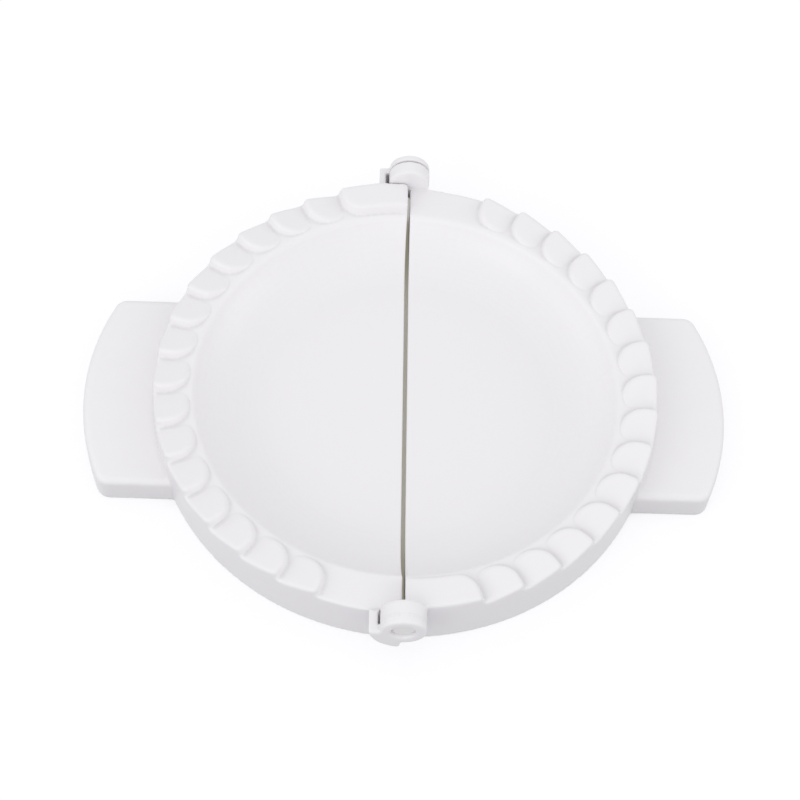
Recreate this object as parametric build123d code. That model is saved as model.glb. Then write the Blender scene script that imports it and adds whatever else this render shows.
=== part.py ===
"""Empanada press lying open: two half-round moulds that fold shut about a common diameter.

Each half is one thin shell: half a dish for the filling, a crimping rim of overlapping scales,
a skirt that stands on the table, a wall along the slit and a hollow handle.  The two shells are
the same shape, turned half a turn, so the scales of one fill the steps of the other when shut.
At each end of the slit the right half carries a knuckle, the left half reaches round it with a
hooked arm and an end plate, and a short pin joins them.

Frame: millimetres, +X towards the right handle, +Y away from the user, +Z up, with the origin at
the centre of the disc on the table.  The hinge axis runs along Y in the closing plane.
"""
from build123d import *

import os
from math import asin, atan, degrees, radians, sin, sqrt, tan

# Disc, dish and skirt
RIM_RADIUS = 75.0  # outside of the skirt and of the crimping rim
CLOSING_HEIGHT = 17.6  # hinge axis and closing plane above the table
MOUTH_LEDGE = 1.1  # from the mouth of the dish out to the scales
DISH_SPREAD = 20.5  # from the flat middle of the dish out to its mouth
DISH_DEPTH = 13.7  # floor of the dish below the closing plane
WALL = 2.0  # moulded wall of dish, skirt, slit wall and handle
SLIT_WIDTH = 1.2  # between the straight walls of the open press
MOUTH_ROUNDING = 1.0  # edge between dish and rim

# Crimping scales
SCALE_COUNT = 15  # sloping scales on each half
FLAT_ANGLE = 18.0  # plain stretch of rim between the last scale and the slit, degrees
SCALE_RISE = 3.4  # from the foot of a scale to its tip
SCALE_LENGTH = 10.4  # from the outside of the rim in to the nose of a scale
SCALE_NOSE_RADIUS = 6.8  # rounded inner corner of a scale
SCALE_CORNER_RADIUS = 1.5  # rounded outer corner of a scale
SCALE_ROUNDING = 0.8  # top edges of a scale
SCALE_DRAFT = 20.0  # slope of the scale sides, degrees
SCALE_ROOT = 1.7  # depth to which a scale is rooted in the rim
SLIT_CORNER_RADIUS = 2.0  # outer corner of the flat scale beside the slit
PINCH_GAP = 0.4  # between the two rims when the press is shut
TIP_SETBACK = 0.35  # each scale tip stays behind its step, so that the steps pass each other

# Handles
HANDLE_LENGTH = 21.5  # from the outside of the rim to the end of a handle
HANDLE_END_RADIUS = 75.0  # bow of the handle's end
HANDLE_WIDTH = 65.6
HANDLE_HEIGHT = 9.3
HANDLE_CORNER_RADIUS = 4.0
HANDLE_ROUNDING = 2.0  # top edges of the handle

# Hinge
KNUCKLE_RADIUS = 6.45
KNUCKLE_LENGTH = 4.6
KNUCKLE_INSET = 0.4  # inner end of the knuckle inside the outside of the rim
KNUCKLE_FLOOR = 0.9  # closes the bore of the knuckle at its inner end
HINGE_END_GAP = 0.3  # inside knuckle and pin ends, and between an arm and the scale that shuts by it
NEAR_END_PLAY = 0.05  # between knuckle and end plate at the near end, where they run close together
FAR_END_PLAY = 0.55  # between knuckle and end plate at the far end, where the play collects
PIN_RADIUS = 3.3
PIN_CLEARANCE = 0.08  # radial, in the knuckle
PIN_RECESS = 1.1  # outer end of the pin inside the face of the end plate
PIN_CHAMFER = 0.6
END_PLATE_THICKNESS = 2.25  # at the far end, and thicker at the near end by the difference in play
END_PLATE_ROUNDING = 0.4
ARM_THICKNESS = 2.0
ARM_SLOT = 1.1  # between knuckle and arm
ARM_SWEEP = 85.0  # how far the arm reaches under the knuckle, degrees
ARM_DROP = 0.2  # top of the arm below the closing plane

# Radii in from the rim, and reach of the handles out from it
SCALE_INNER_RADIUS = RIM_RADIUS - SCALE_LENGTH
DISH_MOUTH_RADIUS = SCALE_INNER_RADIUS - MOUTH_LEDGE
DISH_FLOOR_RADIUS = DISH_MOUTH_RADIUS - DISH_SPREAD
HANDLE_REACH = RIM_RADIUS + HANDLE_LENGTH

# Heights of the rim and the dish, and the arc between the floor and the mouth of the dish
LAND_HEIGHT = CLOSING_HEIGHT - (SCALE_RISE + PINCH_GAP) / 2
FLOOR_HEIGHT = CLOSING_HEIGHT - DISH_DEPTH
DISH_RISE = LAND_HEIGHT - FLOOR_HEIGHT
DISH_ARC_RADIUS = (DISH_SPREAD**2 + DISH_RISE**2) / (2 * DISH_RISE)

# Steps of the right half, counted anticlockwise from the near end of the slit, in degrees
STEP_PITCH = (180 - 2 * FLAT_ANGLE) / SCALE_COUNT
FIRST_STEP = FLAT_ANGLE - 90

# Stations along the hinge axis, from the middle of the press outwards
SKIRT_INSIDE = RIM_RADIUS - WALL
SKIRT_MIDDLE = RIM_RADIUS - WALL / 2
KNUCKLE_START = RIM_RADIUS - KNUCKLE_INSET
KNUCKLE_END = KNUCKLE_START + KNUCKLE_LENGTH
BORE_START = KNUCKLE_START + KNUCKLE_FLOOR
END_PLATE_END = KNUCKLE_END + FAR_END_PLAY + END_PLATE_THICKNESS

# Planes that halves and rims are cut at
SLIT_FACE = Plane.YZ.offset(SLIT_WIDTH / 2)
LAND = Plane.XY.offset(LAND_HEIGHT)


def along_hinge(sketch, start, end):
    """Solid between two stations of the hinge axis, from a sketch drawn round that axis."""
    return Pos(0, end, CLOSING_HEIGHT) * Rot(90, 0, 0) * extrude(sketch, end - start)


def section_under_dish(inset, outer_radius):
    """Half section of all that lies under dish and rim, at a given distance from their surface."""
    floor = FLOOR_HEIGHT - inset
    land = LAND_HEIGHT - inset
    mouth = DISH_FLOOR_RADIUS + sqrt(DISH_RISE * (2 * (DISH_ARC_RADIUS + inset) - DISH_RISE))
    outline = Curve() + [
        TangentArc((DISH_FLOOR_RADIUS, floor), (mouth, land), tangent=(1, 0)),
        Polyline((mouth, land), (outer_radius, land), (outer_radius, 0), (0, 0), (0, floor),
                 (DISH_FLOOR_RADIUS, floor)),
    ]
    section = make_face(outline)
    mouth_corner = section.vertices().sort_by_distance((mouth, land))[0]
    return fillet(mouth_corner, MOUTH_ROUNDING)


def half_round(section, distance):
    """Right half of the round solid with a given half section, from a distance off the axis."""
    return split(revolve(Plane.XZ * section, Axis.Z, 360), Plane.YZ.offset(distance))


def handle_plan(inset):
    """Plan of the handle from within the skirt to its bowed end, at a distance from its sides."""
    root = sqrt(SKIRT_INSIDE**2 - (HANDLE_WIDTH / 2) ** 2)
    band = Rectangle(HANDLE_REACH, HANDLE_WIDTH - 2 * inset, align=(Align.MIN, Align.CENTER))
    end = Pos(HANDLE_REACH - HANDLE_END_RADIUS, 0) * Circle(HANDLE_END_RADIUS - inset)
    plan = Pos(root, 0) * band & end
    end_corners = plan.vertices().sort_by(Axis.X)[-2:]
    return fillet(end_corners, HANDLE_CORNER_RADIUS - inset)


def handle():
    """Handle as a solid block with rounded top edges."""
    block = extrude(handle_plan(0), HANDLE_HEIGHT)
    top_edges = block.faces().sort_by(Axis.Z)[-1].edges()
    return fillet(top_edges.sort_by(Axis.X)[1:], HANDLE_ROUNDING)


def handle_hollow():
    """Space under the handle, out from the skirt."""
    hollow = extrude(handle_plan(WALL), HANDLE_HEIGHT - WALL)
    return hollow - Cylinder(RIM_RADIUS, 2 * CLOSING_HEIGHT)


def tongue_plan():
    """Plan of a scale with its tip along the X axis: a round-nosed tongue towards the middle."""
    aside = SCALE_NOSE_RADIUS + TIP_SETBACK
    out = sqrt((SCALE_INNER_RADIUS + SCALE_NOSE_RADIUS) ** 2 - aside**2)
    length = RIM_RADIUS + SCALE_NOSE_RADIUS - out
    body = Rectangle(length, 2 * SCALE_NOSE_RADIUS, align=(Align.MIN, Align.CENTER))
    return Pos(out, -aside) * (Circle(SCALE_NOSE_RADIUS) + body)


def band_plan():
    """Plan of the rim behind the nose of a scale with its tip along the X axis."""
    nose_turn = asin((SCALE_NOSE_RADIUS + TIP_SETBACK) / (SCALE_INNER_RADIUS + SCALE_NOSE_RADIUS))
    outer = RIM_RADIUS + SCALE_NOSE_RADIUS
    ring = Circle(outer) - Circle(SCALE_INNER_RADIUS)
    behind = Rectangle(outer, 2 * outer, align=(Align.MIN, Align.MAX))
    return ring & Rot(0, 0, -degrees(nose_turn)) * behind


def raised(plan):
    """Blank of a scale: drafted sides with the given plan at the land, rooted within the rim."""
    height = SCALE_ROOT + 2 * SCALE_RISE
    root_plan = offset(plan, SCALE_ROOT * tan(radians(SCALE_DRAFT)))
    blank = extrude(root_plan, height, taper=SCALE_DRAFT) & Cylinder(RIM_RADIUS, 3 * height)
    return Pos(0, 0, LAND_HEIGHT - SCALE_ROOT) * blank


def sloping_scale():
    """Scale with its tip along the X axis, that rises from its foot one pitch behind."""
    slope = atan(SCALE_RISE / (RIM_RADIUS * sin(radians(STEP_PITCH))))
    top = Rot(0, 0, -STEP_PITCH) * Pos(0, 0, LAND_HEIGHT) * Rot(degrees(slope), 0, 0) * Plane.XY
    scale = split(raised(tongue_plan()), top, keep=Keep.BOTTOM)
    outer_corner = (RIM_RADIUS, -TIP_SETBACK, LAND_HEIGHT + SCALE_RISE / 2)
    scale = fillet(scale.edges().sort_by_distance(outer_corner)[0], SCALE_CORNER_RADIUS)
    return fillet(scale.faces().filter_by(top)[0].edges(), SCALE_ROUNDING)


def flat_scale():
    """Level scale at the near end of the right half, from the slit to the first step."""
    blank = Rot(0, 0, FIRST_STEP) * raised(tongue_plan() + band_plan())
    scale = split(blank, LAND.offset(SCALE_RISE), keep=Keep.BOTTOM)
    scale = split(scale, SLIT_FACE)
    slit_corner = (SLIT_WIDTH / 2, -RIM_RADIUS, LAND_HEIGHT + SCALE_RISE / 2)
    scale = fillet(scale.edges().sort_by_distance(slit_corner)[0], SLIT_CORNER_RADIUS)
    top_edges = scale.faces().sort_by(Axis.Z)[-1].edges()
    return fillet(top_edges.sort_by(Axis.X)[1:], SCALE_ROUNDING)


def crimping_scales():
    """All scales of the right half, in turn from the near end of the slit to the far end."""
    sloping = sloping_scale()
    steps = [FIRST_STEP + STEP_PITCH * count for count in range(1, SCALE_COUNT + 1)]
    return [flat_scale()] + [Rot(0, 0, step) * sloping for step in steps]


def mould():
    """Right half without its knuckles."""
    shell = half_round(section_under_dish(0, RIM_RADIUS), SLIT_WIDTH / 2) + handle()
    shell -= half_round(section_under_dish(WALL, SKIRT_INSIDE), SLIT_WIDTH / 2 + WALL)
    shell -= handle_hollow()
    return shell + crimping_scales()


def knuckle():
    """Barrel with a blind bore for the far pin, and its root in the skirt of the right half."""
    barrel = along_hinge(Circle(KNUCKLE_RADIUS), KNUCKLE_START, KNUCKLE_END)
    root = along_hinge(Circle(KNUCKLE_RADIUS), SKIRT_MIDDLE, KNUCKLE_END)
    root = split(split(root, SLIT_FACE), LAND, keep=Keep.BOTTOM)
    bore = along_hinge(Circle(PIN_RADIUS + PIN_CLEARANCE), BORE_START, KNUCKLE_END)
    return barrel + root - bore


def knuckle_space():
    """Notch in the rim of the left half for the inner end of the far knuckle."""
    return along_hinge(Circle(KNUCKLE_RADIUS + ARM_SLOT), KNUCKLE_START - HINGE_END_GAP, KNUCKLE_END)


def hooked_arm(end_play):
    """Arm of the left half round the far knuckle, and its end plate at a given play from it."""
    plate_start = KNUCKLE_END + end_play
    arm_inner = KNUCKLE_RADIUS + ARM_SLOT
    arm_outer = arm_inner + ARM_THICKNESS
    under = Pos(0, -ARM_DROP) * Rectangle(2 * arm_outer, arm_outer, align=(Align.CENTER, Align.MAX))
    before_end = Rot(0, 0, ARM_SWEEP) * Rectangle(2 * arm_outer, arm_outer, align=(Align.CENTER, Align.MIN))
    sector = Circle(arm_outer) & under & before_end
    arm = along_hinge(sector - Circle(arm_inner), SKIRT_MIDDLE, END_PLATE_END)
    plate = along_hinge(sector + Circle(KNUCKLE_RADIUS), plate_start, END_PLATE_END)
    hook = arm + plate
    hook = fillet(hook.faces().sort_by(Axis.Y)[-1].edges(), END_PLATE_ROUNDING)
    return hook - along_hinge(Circle(PIN_RADIUS), plate_start, END_PLATE_END)


def closing_space():
    """Space over the land that a flat scale of the other half needs when the press shuts."""
    radius = RIM_RADIUS + HINGE_END_GAP
    space = Cylinder(radius, CLOSING_HEIGHT, align=(Align.CENTER, Align.CENTER, Align.MIN))
    return Pos(0, 0, LAND_HEIGHT) * space


def hinge_pin():
    """Far pin, pressed in the end plate and free in the knuckle, with a chamfered outer end."""
    pin = along_hinge(Circle(PIN_RADIUS), BORE_START + HINGE_END_GAP, END_PLATE_END - PIN_RECESS)
    return chamfer(pin.faces().sort_by(Axis.Y)[-1].edges(), PIN_CHAMFER)


def to_near_end(piece):
    """The same piece at the near end of the hinge axis."""
    return mirror(piece, about=Plane.XZ)


def press():
    """All pieces of the press by name."""
    shell = mould()
    left_shell = Rot(0, 0, 180) * shell - knuckle_space() - to_near_end(knuckle_space())
    near_arm = to_near_end(hooked_arm(NEAR_END_PLAY)) - closing_space()
    return {
        "left_half": left_shell + hooked_arm(FAR_END_PLAY) + near_arm,
        "right_half": shell + knuckle() + to_near_end(knuckle()),
        "rear_hinge_pin": hinge_pin(),
        "front_hinge_pin": to_near_end(hinge_pin()),
    }


os.makedirs("parts", exist_ok=True)
for name, piece in press().items():
    export_step(piece, f"parts/{name}.step")
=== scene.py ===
"""Looks of the empanada press: softly edged white mouldings, their hinge pins, floor, light and camera."""

import logging
from dataclasses import dataclass, field
from enum import Enum
from math import pi, radians

import bmesh
import bpy
import numpy as np
from mathutils import Matrix, Vector

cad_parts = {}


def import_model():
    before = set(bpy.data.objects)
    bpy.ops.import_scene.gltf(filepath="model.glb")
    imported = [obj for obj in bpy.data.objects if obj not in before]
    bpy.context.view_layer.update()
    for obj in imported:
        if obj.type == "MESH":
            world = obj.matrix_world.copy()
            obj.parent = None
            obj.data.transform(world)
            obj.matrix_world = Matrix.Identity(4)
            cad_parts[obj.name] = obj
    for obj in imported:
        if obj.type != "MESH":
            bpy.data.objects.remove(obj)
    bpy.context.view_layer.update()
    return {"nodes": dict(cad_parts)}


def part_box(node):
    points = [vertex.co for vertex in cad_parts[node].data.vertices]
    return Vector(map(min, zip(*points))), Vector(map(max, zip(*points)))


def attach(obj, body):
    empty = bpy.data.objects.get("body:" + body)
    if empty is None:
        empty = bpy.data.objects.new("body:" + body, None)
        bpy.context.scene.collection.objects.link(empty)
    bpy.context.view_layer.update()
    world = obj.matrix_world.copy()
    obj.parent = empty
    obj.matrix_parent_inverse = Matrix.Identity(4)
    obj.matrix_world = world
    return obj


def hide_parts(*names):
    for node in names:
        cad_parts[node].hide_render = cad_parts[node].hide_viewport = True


logging.basicConfig(level=logging.INFO, format="%(message)s")
log = logging.getLogger("press")

MM = 0.001
TINY = 0.001 * MM  # lengths below this count as nothing
TOUCH = 0.01 * MM  # points this near to a plane lie on it
Colour = tuple[float, float, float, float]
Triple = tuple[float, float, float]
Span = tuple[float, float, float, float]
WHITE: Colour = (1.0, 1.0, 1.0, 1.0)


class Half(Enum):
    """The two mouldings, by the name of the CAD node."""

    LEFT = "left_half"
    RIGHT = "right_half"


class HingeEnd(Enum):
    """The two ends of the hinge, by the name of the pin's CAD node."""

    FRONT = "front_hinge_pin"
    REAR = "rear_hinge_pin"


class Signal:
    """A number or an output socket in a material, which takes part in plain expressions."""

    def __init__(self, graph: "Graph", value: object) -> None:
        """Hold an output socket or a number, for a graph that new nodes go into."""
        self.graph = graph
        self.value = value

    def _math(self, operation: str, first: object, second: object) -> "Signal":
        """One Math node on two values, which are numbers, sockets or signals."""
        inputs = {0: first, 1: second}
        return self.graph.node("ShaderNodeMath", {"operation": operation}, inputs)

    def __add__(self, other: object) -> "Signal":
        """Sum."""
        return self._math("ADD", self, other)

    __radd__ = __add__

    def __mul__(self, other: object) -> "Signal":
        """Product."""
        return self._math("MULTIPLY", self, other)

    __rmul__ = __mul__

    def __sub__(self, other: object) -> "Signal":
        """Difference."""
        return self._math("SUBTRACT", self, other)

    def __rsub__(self, other: object) -> "Signal":
        """Difference from a plain number."""
        return self._math("SUBTRACT", other, self)

    def larger(self, other: object) -> "Signal":
        """The larger of two values."""
        return self._math("MAXIMUM", self, other)


class Graph:
    """The node graph of one material or world."""

    def __init__(self, tree: bpy.types.NodeTree) -> None:
        """Start from a node tree, which is emptied first."""
        tree.nodes.clear()
        self.tree = tree

    def node(self, kind: str, settings: dict[str, object], inputs: dict[object, object],
             output: object = 0) -> Signal:
        """Add a node.

        Args:
            kind: the node's type.
            settings: attributes that are set before its sockets.
            inputs: values or links, by the socket's name or number.
            output: the socket that the result is read from, by name or number.

        Returns:
            The chosen output as a signal.
        """
        made = self.tree.nodes.new(kind)
        for name, value in settings.items():
            setattr(made, name, value)
        for name, value in inputs.items():
            plain = value.value if isinstance(value, Signal) else value
            if isinstance(plain, bpy.types.NodeSocket):
                self.tree.links.new(plain, made.inputs[name])
            else:
                made.inputs[name].default_value = plain
        return Signal(self, made.outputs[output] if made.outputs else None)

    def noise(self, place: Signal, scale: float, detail: float, roughness: float = 0.5) -> Signal:
        """Noise from about -0.5 to 0.5; roughness is how much the finer octaves weigh."""
        inputs = {"Vector": place, "Scale": scale, "Detail": detail, "Roughness": roughness}
        return self.node("ShaderNodeTexNoise", {}, inputs) - 0.5

    def seen_rays(self) -> Signal:
        """One for rays that show the background itself: from the camera, a gloss or through glass."""
        shown = [self.node("ShaderNodeLightPath", {}, {}, name)
                 for name in ("Is Camera Ray", "Is Glossy Ray", "Is Transmission Ray")]
        return shown[0].larger(shown[1]).larger(shown[2])


@dataclass(frozen=True)
class MouldedPlastic:
    """White moulded plastic: satin skin, slow waves from cooling, light handling wear on edges and painted
    shade in sharp creases.
    """

    name: str
    colour: Colour
    roughness: float
    tint: float = 0.012  # strength of the slow change of colour
    tint_scale: float = 28.0  # its cycles in a metre
    tint_detail: float = 3.0
    tint_roughness: float = 0.10  # how much it changes the roughness
    wave_scale: float = 45.0  # slow waves of the skin, cycles in a metre
    wave_detail: float = 2.0
    wave_height: float = 0.04 * MM
    grain_scale: float = 2600.0  # fine grain of the mould's surface, cycles in a metre
    grain_detail: float = 4.0
    grain_octaves: float = 0.6  # how much its finer octaves weigh
    grain_tint: float = 0.006  # how much it changes the colour
    grain_roughness: float = 0.05  # how much it changes the roughness
    grain_height: float = 0.0022 * MM
    edge_wear: float = 0.10  # how much rougher worn edges are
    painted_crease_shade: float = 0.45  # painted shade: how much darker sharp creases are painted
    refraction: float = 1.49

    def material(self) -> bpy.types.Material:
        """Build the material.

        Returns:
            The new material.
        """
        made = bpy.data.materials.new(self.name)
        made.use_nodes = True
        graph = Graph(made.node_tree)
        place = graph.node("ShaderNodeTexCoord", {}, {}, "Object")
        edge = graph.node("ShaderNodeAttribute", {"attribute_name": "edge"}, {}, "Fac")
        crease = graph.node("ShaderNodeAttribute", {"attribute_name": "crease"}, {}, "Fac")
        slow = graph.noise(place, self.tint_scale, self.tint_detail)
        skin = graph.noise(place, self.grain_scale, self.grain_detail, self.grain_octaves)
        # painted shade: sharp creases are darkened in the colour, on top of the random tint and grain
        shade = 1.0 + slow * self.tint + skin * self.grain_tint - crease * self.painted_crease_shade
        inputs = {"Scale": shade, 0: self.colour[:3]}
        colour = graph.node("ShaderNodeVectorMath", {"operation": "SCALE"}, inputs)
        rough = (self.roughness + slow * self.tint_roughness + skin * self.grain_roughness
                 + edge * self.edge_wear)
        waves = graph.noise(place, self.wave_scale, self.wave_detail)
        height = waves * self.wave_height + skin * self.grain_height
        bump = graph.node("ShaderNodeBump", {}, {"Height": height, "Distance": 1.0})
        shader = graph.node("ShaderNodeBsdfPrincipled", {}, {
            "Base Color": colour,
            "Roughness": rough,
            "Normal": bump,
            "IOR": self.refraction,
        })
        graph.node("ShaderNodeOutputMaterial", {}, {"Surface": shader})
        return made


@dataclass(frozen=True)
class Rounding:
    """Rounding of a moulding's edges: a little on all of them, more on outward edges of rim and hinge."""

    strength: float = 0.5  # share of the way to the neighbours' middle in each pass
    passes: int = 3  # over the whole skin
    hinge_share: float = 0.3  # the hinge's faces meet closely, so they get less
    outward_passes: int = 6  # over the outward edges of rim and hinge, where creases stay sharp
    inside: float = 57.0 * MM  # radius where the rim's rounding starts
    full_from: float = 61.0 * MM  # radius from which it is full
    bottom: float = 10.0 * MM  # height where it starts
    full_above: float = 13.0 * MM  # height from which it is full
    slit: float = 1.2 * MM  # distance from the slit's middle where it starts
    full_aside: float = 3.5 * MM  # distance from which it is full
    hinge_radius: float = 74.5 * MM  # the hinge lies outside this radius
    hinge_width: float = 11.0 * MM  # and this near to the slit's middle
    knuckle_radius: float = 7.0 * MM  # more than a knuckle's, and less than the inside of an arm
    knuckle_end: Span = (73.9 * MM, 74.3 * MM, 76.2 * MM, 77.0 * MM)  # rounded stretch, fading at both ends
    plate_end: Span = (80.4 * MM, 81.0 * MM, 83.0 * MM, 84.0 * MM)  # the same of an end plate

    def apply(self, mesh: bpy.types.Mesh) -> None:
        """Round the edges of a mesh.

        Args:
            mesh: the mesh, whose points are moved.
        """
        points = np.empty(3 * len(mesh.vertices))
        normals = np.empty(3 * len(mesh.vertices))
        ends = np.empty(2 * len(mesh.edges), dtype=np.int64)
        mesh.vertices.foreach_get("co", points)
        mesh.edges.foreach_get("vertices", ends)
        points = points.reshape(-1, 3)
        ends = ends.reshape(-1, 2)
        at_hinge = self._at_hinge(points)
        everywhere = np.where(at_hinge, self.hinge_share, 1.0)[:, None]
        for _ in range(self.passes):
            points += self.strength * everywhere * self._pull(points, ends)
        outward_share = np.where(at_hinge, self._hinge_share(points), self._rim_share(points))[:, None]
        for _ in range(self.outward_passes):
            mesh.vertices.foreach_set("co", points.ravel())
            mesh.update()
            mesh.vertex_normals.foreach_get("vector", normals)
            pull = self._pull(points, ends)
            outward = (pull * normals.reshape(-1, 3)).sum(axis=1, keepdims=True) < 0.0
            points += self.strength * outward_share * outward * pull
        mesh.vertices.foreach_set("co", points.ravel())
        mesh.update()

    @staticmethod
    def _pull(points: np.ndarray, ends: np.ndarray) -> np.ndarray:
        """Way from each point to the middle of its neighbours.

        Args:
            points: one row for each point.
            ends: the two points of each edge.

        Returns:
            One row for each point.
        """
        near = np.concatenate((ends[:, 0], ends[:, 1]))
        far = np.concatenate((ends[:, 1], ends[:, 0]))
        number = np.maximum(1, np.bincount(near, minlength=len(points)))
        sums = [np.bincount(near, points[far, axis], len(points)) for axis in range(3)]
        return np.stack(sums, axis=1) / number[:, None] - points

    def _at_hinge(self, points: np.ndarray) -> np.ndarray:
        """True for each point that belongs to the hinge."""
        radius = np.hypot(points[:, 0], points[:, 1])
        return (radius > self.hinge_radius) & (np.abs(points[:, 0]) < self.hinge_width)

    def _hinge_share(self, points: np.ndarray) -> np.ndarray:
        """How much of the outward rounding each point of the hinge gets.

        Args:
            points: one row for each point.

        Returns:
            Shares from 0 to 1.
        """
        along = np.abs(points[:, 1])
        at_knuckle = np.abs(points[:, 0]) < self.knuckle_radius
        return (at_knuckle * np.interp(along, self.knuckle_end, (0.0, 1.0, 1.0, 0.0))
                + np.interp(along, self.plate_end, (0.0, 1.0, 1.0, 0.0)))

    def _rim_share(self, points: np.ndarray) -> np.ndarray:
        """How much of the rim's rounding each point gets.

        Args:
            points: one row for each point.

        Returns:
            Shares from 0 to 1.
        """
        radius = np.hypot(points[:, 0], points[:, 1])
        return (np.interp(radius, (self.inside, self.full_from), (0.0, 1.0))
                * np.interp(points[:, 2], (self.bottom, self.full_above), (0.0, 1.0))
                * np.interp(np.abs(points[:, 0]), (self.slit, self.full_aside), (0.0, 1.0)))


@dataclass(frozen=True)
class SlitDraft:
    """Slope of the walls along the slit, which come closer towards the rim."""

    lean: float = 0.2 * MM  # how far each wall leans in at the height of the rim
    foot: float = 5.0 * MM  # height where it starts to lean
    rim: float = 15.7 * MM  # height from which the lean is full
    face: float = 0.9 * MM  # the wall's face lies this near to the slit's middle
    back: float = 3.2 * MM  # beyond this distance nothing moves
    reach: float = 74.0 * MM  # the hinge lies outside this radius and stays as it is

    def apply(self, mesh: bpy.types.Mesh) -> None:
        """Lean the slit's wall of a half towards the other half.

        Args:
            mesh: the mesh, whose points are moved.
        """
        points = np.empty(3 * len(mesh.vertices))
        mesh.vertices.foreach_get("co", points)
        points = points.reshape(-1, 3)
        across, along, height = points.T
        share = (np.interp(np.abs(across), (self.face, self.back), (1.0, 0.0))
                 * np.interp(height, (self.foot, self.rim), (0.0, 1.0))
                 * (np.hypot(across, along) < self.reach))
        points[:, 0] = across - np.sign(across) * self.lean * share
        mesh.vertices.foreach_set("co", points.ravel())
        mesh.update()


@dataclass(frozen=True)
class NearJoint:
    """The near end of the hinge: a fine seam by the end plate, and a narrow slot by the arm."""

    axis_height: float = 17.6 * MM
    barrel_radius: float = 6.45 * MM
    knuckle_end: float = -79.22 * MM  # where the right half's knuckle ends
    plate_start: float = -79.23 * MM  # where the left half's end plate starts
    reach: float = 0.36 * MM  # points this near to the seam are set onto it
    seam_width: float = 0.03 * MM  # points this near to it count as lying on it
    slot_wall: Span = (7.15 * MM, 7.4 * MM, 7.8 * MM, 8.6 * MM)  # radii of the arm's inner wall, fading
    slot_end: float = -74.0 * MM  # the slot ends here
    narrowing: float = 0.45 * MM  # how far the wall comes closer to the knuckle

    def apply(self, mesh: bpy.types.Mesh, half: Half) -> None:
        """Narrow the slot and set the points round the seam onto the seam.

        Args:
            mesh: the mesh, whose points are moved.
            half: the half that the mesh belongs to.
        """
        points, radius = self._read(mesh)
        along = points[:, 1]
        if half is Half.LEFT:
            share = (np.interp(radius, self.slot_wall, (0.0, 1.0, 1.0, 0.0))
                     * ((along < self.slot_end) & (points[:, 0] < 0.0) & (along > self.plate_start)))
            self._set_radius(points, radius, radius - self.narrowing * share)
        station = self._station(half)
        radius = np.hypot(points[:, 0], points[:, 2] - self.axis_height)
        near = self._near(points, radius, station, self.reach)
        self._set_radius(points, radius, np.where(near, self.barrel_radius, radius))
        points[near, 1] = station
        mesh.vertices.foreach_set("co", points.ravel())
        mesh.update()

    def sharpen(self, mesh: bpy.types.Mesh, half: Half) -> None:
        """Keep the seam's edge sharp in the shading.

        Args:
            mesh: the mesh, whose edges are marked.
            half: the half that the mesh belongs to.
        """
        points, radius = self._read(mesh)
        on_seam = self._near(points, radius, self._station(half), self.seam_width)
        ends = np.empty(2 * len(mesh.edges), dtype=np.int64)
        mesh.edges.foreach_get("vertices", ends)
        mesh.edges.foreach_set("use_edge_sharp", on_seam[ends.reshape(-1, 2)].all(axis=1))
        mesh.update()

    def _station(self, half: Half) -> float:
        """Y of a half's edge at the seam."""
        return self.knuckle_end if half is Half.RIGHT else self.plate_start

    def _read(self, mesh: bpy.types.Mesh) -> tuple[np.ndarray, np.ndarray]:
        """Points of a mesh.

        Args:
            mesh: the mesh.

        Returns:
            One row for each point, and their distances from the hinge's axis.
        """
        points = np.empty(3 * len(mesh.vertices))
        mesh.vertices.foreach_get("co", points)
        points = points.reshape(-1, 3)
        return points, np.hypot(points[:, 0], points[:, 2] - self.axis_height)

    def _near(self, points: np.ndarray, radius: np.ndarray, station: float, reach: float) -> np.ndarray:
        """True for each point within reach of the round edge at a station, by Y and by radius."""
        return ((np.abs(points[:, 1] - station) < reach)
                & (np.abs(radius - self.barrel_radius) < reach))

    def _set_radius(self, points: np.ndarray, old: np.ndarray, new: np.ndarray) -> None:
        """Move points towards the hinge's axis or away from it.

        Args:
            points: one row for each point, which are moved.
            old: their distances from the axis.
            new: the distances that they get.
        """
        scale = new / np.maximum(old, TINY)
        points[:, 0] *= scale
        points[:, 2] = self.axis_height + (points[:, 2] - self.axis_height) * scale


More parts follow.
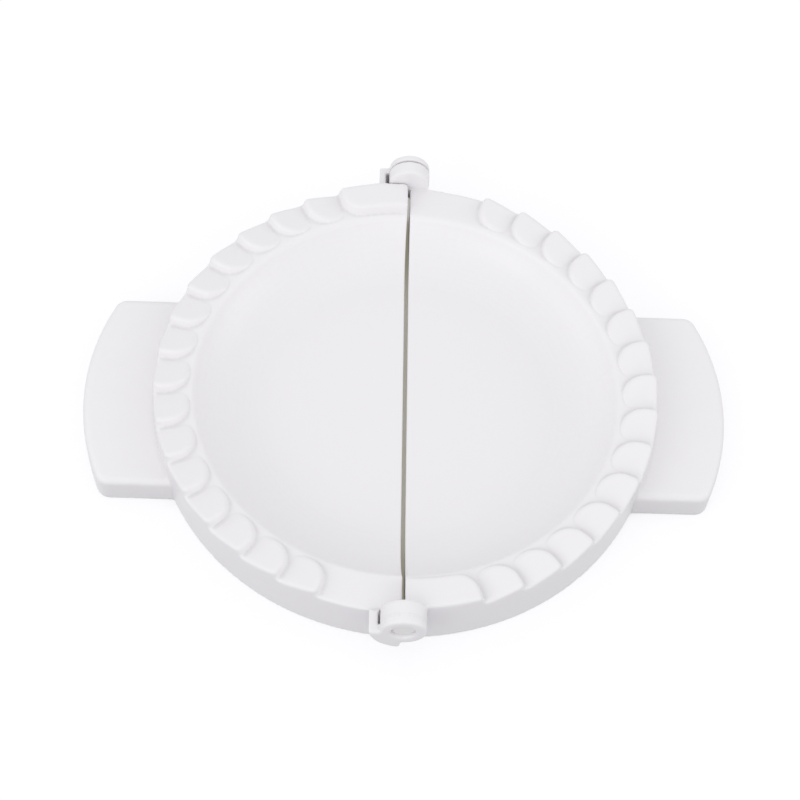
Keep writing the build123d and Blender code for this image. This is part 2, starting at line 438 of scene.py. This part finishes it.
@dataclass
class Moulding:
    """One half of the press as a single softly edged moulding, taken from its CAD node."""

    half: Half
    body: str
    material: bpy.types.Material
    rounding: Rounding = Rounding()
    draft: SlitDraft = SlitDraft()
    joint: NearJoint = NearJoint()
    voxel: float = 0.38 * MM  # fineness of the skin
    most_triangles: int = 185_000
    bend_gain: float = 3.0  # brings a sharp edge's bend to about 1

    def build(self, nodes: dict[str, bpy.types.Object]) -> bpy.types.Object:
        """Make the moulding's object and dress it.

        Args:
            nodes: the CAD nodes by name.

        Returns:
            The finished object.
        """
        mesh = self._merged_copy(nodes[self.half.value])
        moulding = bpy.data.objects.new(f"{self.half.value}_moulding", mesh)
        bpy.context.scene.collection.objects.link(moulding)
        self._soften(moulding)
        self._mark_edges(moulding.data)
        moulding.data.materials.clear()
        moulding.data.materials.append(self.material)
        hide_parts(self.half.value)
        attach(moulding, self.body)
        log.info("%s: %d faces", moulding.name, len(moulding.data.polygons))
        return moulding

    @staticmethod
    def _merged_copy(node: bpy.types.Object) -> bpy.types.Mesh:
        """Copy a CAD node's mesh and join its loose triangles.

        Args:
            node: the CAD node's object, which stays as it is.

        Returns:
            A closed mesh.
        """
        mesh = node.data.copy()
        shape = bmesh.new()
        shape.from_mesh(mesh)
        bmesh.ops.remove_doubles(shape, verts=shape.verts, dist=TINY)
        shape.to_mesh(mesh)
        shape.free()
        return mesh

    def _soften(self, moulding: bpy.types.Object) -> None:
        """Give the moulding an even skin, round its edges, shape slit and joint, and thin it out.

        Args:
            moulding: the object, whose mesh is exchanged.
        """
        remesh = moulding.modifiers.new("skin", "REMESH")
        remesh.mode = "VOXEL"
        remesh.voxel_size = self.voxel
        remesh.use_smooth_shade = True
        self._apply(moulding)
        self.rounding.apply(moulding.data)
        self.draft.apply(moulding.data)
        self.joint.apply(moulding.data, self.half)
        triangles = 2 * len(moulding.data.polygons)
        if triangles > self.most_triangles:
            thin = moulding.modifiers.new("thinning", "DECIMATE")
            thin.ratio = self.most_triangles / triangles
            self._apply(moulding)
        for face in moulding.data.polygons:
            face.use_smooth = True
        self.joint.sharpen(moulding.data, self.half)

    @staticmethod
    def _apply(moulding: bpy.types.Object) -> None:
        """Turn the moulding's modifiers into its mesh.

        Args:
            moulding: the object.
        """
        evaluated = moulding.evaluated_get(bpy.context.evaluated_depsgraph_get())
        mesh = bpy.data.meshes.new_from_object(evaluated)
        moulding.modifiers.clear()
        moulding.data = mesh

    def _mark_edges(self, mesh: bpy.types.Mesh) -> None:
        """Store how strongly each point stands out or lies in a crease, for edge wear and painted crease
        shade.

        Args:
            mesh: the mesh that gets the point attributes "edge" and "crease".
        """
        shape = bmesh.new()
        shape.from_mesh(mesh)
        shape.normal_update()
        bends = self.bend_gain * np.array([self._bend(point) for point in shape.verts])
        shape.free()
        for name, values in (("edge", bends), ("crease", -bends)):
            stored = mesh.attributes.new(name, "FLOAT", "POINT")
            stored.data.foreach_set("value", np.clip(values, 0.0, 1.0))

    @staticmethod
    def _bend(point: bmesh.types.BMVert) -> float:
        """How convex the mesh is at a point.

        Args:
            point: a point of the mesh, with its normal up to date.

        Returns:
            0 on flat places, more on outer edges and less in creases.
        """
        pull = sum(((edge.other_vert(point).co - point.co).normalized().dot(point.normal)
                    for edge in point.link_edges), 0.0)
        return -pull / max(1, len(point.link_edges))


@dataclass
class HingePin:
    """A short pin with rounded ends, pressed in an end plate."""

    end: HingeEnd
    body: str
    material: bpy.types.Material
    segments: int = 96
    rounding: float = 0.35 * MM  # of the end that shows
    inner_rounding: float = 0.8 * MM  # of the end at the bottom of the knuckle's bore
    rounding_segments: int = 3

    def build(self) -> bpy.types.Object:
        """Make the pin's object and dress it.

        Returns:
            The finished object.
        """
        low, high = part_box(self.end.value)
        centre = (low + high) / 2
        shape = bmesh.new()
        place = Matrix.Translation(centre) @ Matrix.Rotation(pi / 2, 4, "X")
        bmesh.ops.create_cone(shape, cap_ends=True, segments=self.segments,
                              radius1=(high.x - low.x) / 2, radius2=(high.x - low.x) / 2,
                              depth=high.y - low.y, matrix=place)
        stations = sorted((low.y, high.y), key=abs)
        for station, rounding in zip(stations, (self.inner_rounding, self.rounding)):
            rim = [edge for edge in shape.edges
                   if all(abs(point.co.y - station) < TOUCH for point in edge.verts)]
            bmesh.ops.bevel(shape, geom=rim, offset=rounding, offset_type="OFFSET",
                            segments=self.rounding_segments, profile=0.5, affect="EDGES", material=-1)
        mesh = bpy.data.meshes.new(f"{self.end.value}_moulding")
        shape.to_mesh(mesh)
        shape.free()
        for face in mesh.polygons:
            face.use_smooth = len(face.vertices) < self.segments
        mesh.materials.append(self.material)
        pin = bpy.data.objects.new(f"{self.end.value}_moulding", mesh)
        bpy.context.scene.collection.objects.link(pin)
        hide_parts(self.end.value)
        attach(pin, self.body)
        log.info("%s: %d faces", pin.name, len(mesh.polygons))
        return pin


@dataclass(frozen=True)
class SoftLamp:
    """A large square lamp that points at the press."""

    name: str
    place: Triple
    side: float  # metres
    power: float  # watts

    def build(self) -> bpy.types.Object:
        """Make the lamp.

        Returns:
            The lamp's object.
        """
        light = bpy.data.lights.new(self.name, "AREA")
        light.size = self.side
        light.energy = self.power
        lamp = bpy.data.objects.new(self.name, light)
        bpy.context.scene.collection.objects.link(lamp)
        lamp.location = self.place
        lamp.rotation_euler = (-Vector(self.place)).to_track_quat("-Z", "Y").to_euler()
        return lamp


@dataclass
class Studio:
    """A floor that shows white, soft light from all round and the camera of the photo's view."""

    floor_side: float = 6.0
    floor_colour: Colour = (0.355, 0.35, 0.37, 1.0)
    floor_glow: float = 0.68  # lifts the floor to white for rays that show the background itself
    painted_shade_colour: Triple = (0.310, 0.292, 0.210)  # painted shade: colour that the glow drops to under the press
    cover_reach: float = 25.0 * MM  # what lies over the floor within this distance covers it
    cover_samples: int = 16
    painted_shade_span: tuple[float, float] = (0.20, 0.36)  # share of open sky, from under cover (full painted shade) to in the open (none)
    painted_streak_middle: Triple = (0.55 * MM, 79.5 * MM, 0.0)  # painted shadow: dark floor that the slit shows under the far hinge
    painted_streak_half_size: Triple = (1.0 * MM, 6.5 * MM, 1.0)  # on the floor, so its height doesn't matter
    painted_streak_edge: tuple[float, float] = (0.7, 1.2)  # its soft edge, in half sizes
    sky_strength: float = 0.855
    camera_place: Triple = (-15.383 * MM, -287.227 * MM, 458.328 * MM)
    camera_yaw: float = radians(2.7497)
    camera_pitch: float = radians(57.4949)
    camera_roll: float = radians(4.1281)
    focal_pixels: float = 1771.48
    frame_pixels: float = 800.0
    sensor: float = 36.0  # millimetres, as Blender states lenses
    near_clip: float = 0.01
    far_clip: float = 20.0
    lamps: tuple[SoftLamp, ...] = field(default_factory=lambda: (
        SoftLamp("front_softbox", (0.0, -1.30, 0.45), 0.8, 1.6),
        SoftLamp("front_left_softbox", (-0.80, -0.75, 0.70), 0.6, 1.67),
        SoftLamp("left_softbox", (-1.10, 0.0, 0.50), 0.6, 0.86),
        SoftLamp("right_softbox", (1.10, 0.0, 0.50), 0.6, 1.35),
    ))

    def build(self) -> None:
        """Make floor, sky, lamps and camera."""
        self._floor()
        self._sky()
        for lamp in self.lamps:
            lamp.build()
        self._camera()
        bpy.context.scene.view_settings.view_transform = "Standard"
        log.info("studio: floor, sky, %d lamps and camera", len(self.lamps))

    def _floor(self) -> None:
        """Make the floor: white to the eye, with the press's shadow, and painted shade under the press."""
        shape = bmesh.new()
        bmesh.ops.create_grid(shape, x_segments=1, y_segments=1, size=self.floor_side / 2)
        mesh = bpy.data.meshes.new("studio_floor")
        shape.to_mesh(mesh)
        shape.free()
        paint = bpy.data.materials.new("floor_paint")
        paint.use_nodes = True
        graph = Graph(paint.node_tree)
        matt = graph.node("ShaderNodeBsdfDiffuse", {}, {"Color": self.floor_colour})
        glow = graph.node("ShaderNodeEmission", {},
                          {"Color": self._glow_with_painted_shade(graph), "Strength": self.floor_glow})
        lifted = graph.node("ShaderNodeAddShader", {}, {0: matt, 1: glow})
        shown = graph.node("ShaderNodeMixShader", {}, {0: graph.seen_rays(), 1: matt, 2: lifted})
        graph.node("ShaderNodeOutputMaterial", {}, {"Surface": shown})
        mesh.materials.append(paint)
        floor = bpy.data.objects.new("studio_floor", mesh)
        bpy.context.scene.collection.objects.link(floor)

    def _glow_with_painted_shade(self, graph: Graph) -> Signal:
        """White on the open floor, with painted shade where the press covers it and in the painted shadow
        streak.

        Args:
            graph: the floor's graph.

        Returns:
            The colour as a signal.
        """
        # painted shade: the glow that whitens the floor is cut where the press covers it
        open_sky = graph.node("ShaderNodeAmbientOcclusion", {"samples": self.cover_samples},
                              {"Distance": self.cover_reach}, "AO")
        open_floor = (self._rise(graph, open_sky, self.painted_shade_span)
                      * self._rise(graph, self._from_painted_streak(graph), self.painted_streak_edge))
        lift = tuple(1.0 - channel for channel in self.painted_shade_colour)
        inputs = {0: open_floor, 1: lift, 2: self.painted_shade_colour}
        return graph.node("ShaderNodeVectorMath", {"operation": "MULTIPLY_ADD"}, inputs)

    def _from_painted_streak(self, graph: Graph) -> Signal:
        """How far a place on the floor is from the middle of the painted shadow streak, in its half sizes.

        Args:
            graph: the floor's graph.

        Returns:
            The distance as a signal.
        """
        place = graph.node("ShaderNodeTexCoord", {}, {}, "Object")
        offset = graph.node("ShaderNodeVectorMath", {"operation": "SUBTRACT"},
                            {0: place, 1: self.painted_streak_middle})
        scale = tuple(1 / half for half in self.painted_streak_half_size)
        scaled = graph.node("ShaderNodeVectorMath", {"operation": "MULTIPLY"}, {0: offset, 1: scale})
        return graph.node("ShaderNodeVectorMath", {"operation": "LENGTH"}, {0: scaled}, "Value")

    @staticmethod
    def _rise(graph: Graph, value: Signal, span: tuple[float, float]) -> Signal:
        """Smooth rise from 0 to 1 while a value goes through a span."""
        inputs = {"Value": value, "From Min": span[0], "From Max": span[1]}
        return graph.node("ShaderNodeMapRange", {"interpolation_type": "SMOOTHSTEP"}, inputs)

    def _sky(self) -> None:
        """Light the press evenly from all round, and show white to the eye."""
        world = bpy.data.worlds.new("studio_sky")
        world.use_nodes = True
        bpy.context.scene.world = world
        graph = Graph(world.node_tree)
        soft = graph.node("ShaderNodeBackground", {}, {"Color": WHITE, "Strength": self.sky_strength})
        white = graph.node("ShaderNodeBackground", {}, {"Color": WHITE, "Strength": 1.0})
        shown = graph.node("ShaderNodeMixShader", {}, {0: graph.seen_rays(), 1: soft, 2: white})
        graph.node("ShaderNodeOutputWorld", {}, {"Surface": shown})

    def _camera(self) -> None:
        """Place the camera where the photo was taken from."""
        lens = bpy.data.cameras.new("photo_camera")
        lens.sensor_width = self.sensor
        lens.lens = self.focal_pixels * self.sensor / self.frame_pixels
        lens.clip_start = self.near_clip
        lens.clip_end = self.far_clip
        camera = bpy.data.objects.new("photo_camera", lens)
        bpy.context.scene.collection.objects.link(camera)
        camera.matrix_world = (
            Matrix.Translation(self.camera_place)
            @ Matrix.Rotation(-self.camera_yaw, 4, "Z")
            @ Matrix.Rotation(pi / 2 - self.camera_pitch, 4, "X")
            @ Matrix.Rotation(self.camera_roll, 4, "Z")
        )
        bpy.context.scene.camera = camera


def main() -> None:
    """Build the press and its studio."""
    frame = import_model()
    mould_plastic = MouldedPlastic("mould_plastic", (0.86, 0.848, 0.868, 1.0), 0.34).material()
    pin_plastic = MouldedPlastic("pin_plastic", (0.84, 0.83, 0.83, 1.0), 0.38).material()
    Moulding(Half.LEFT, "left_mould", mould_plastic).build(frame["nodes"])
    Moulding(Half.RIGHT, "right_mould", mould_plastic).build(frame["nodes"])
    for end in HingeEnd:
        HingePin(end, "left_mould", pin_plastic).build()
    Studio().build()


if __name__ == "__main__":
    main()
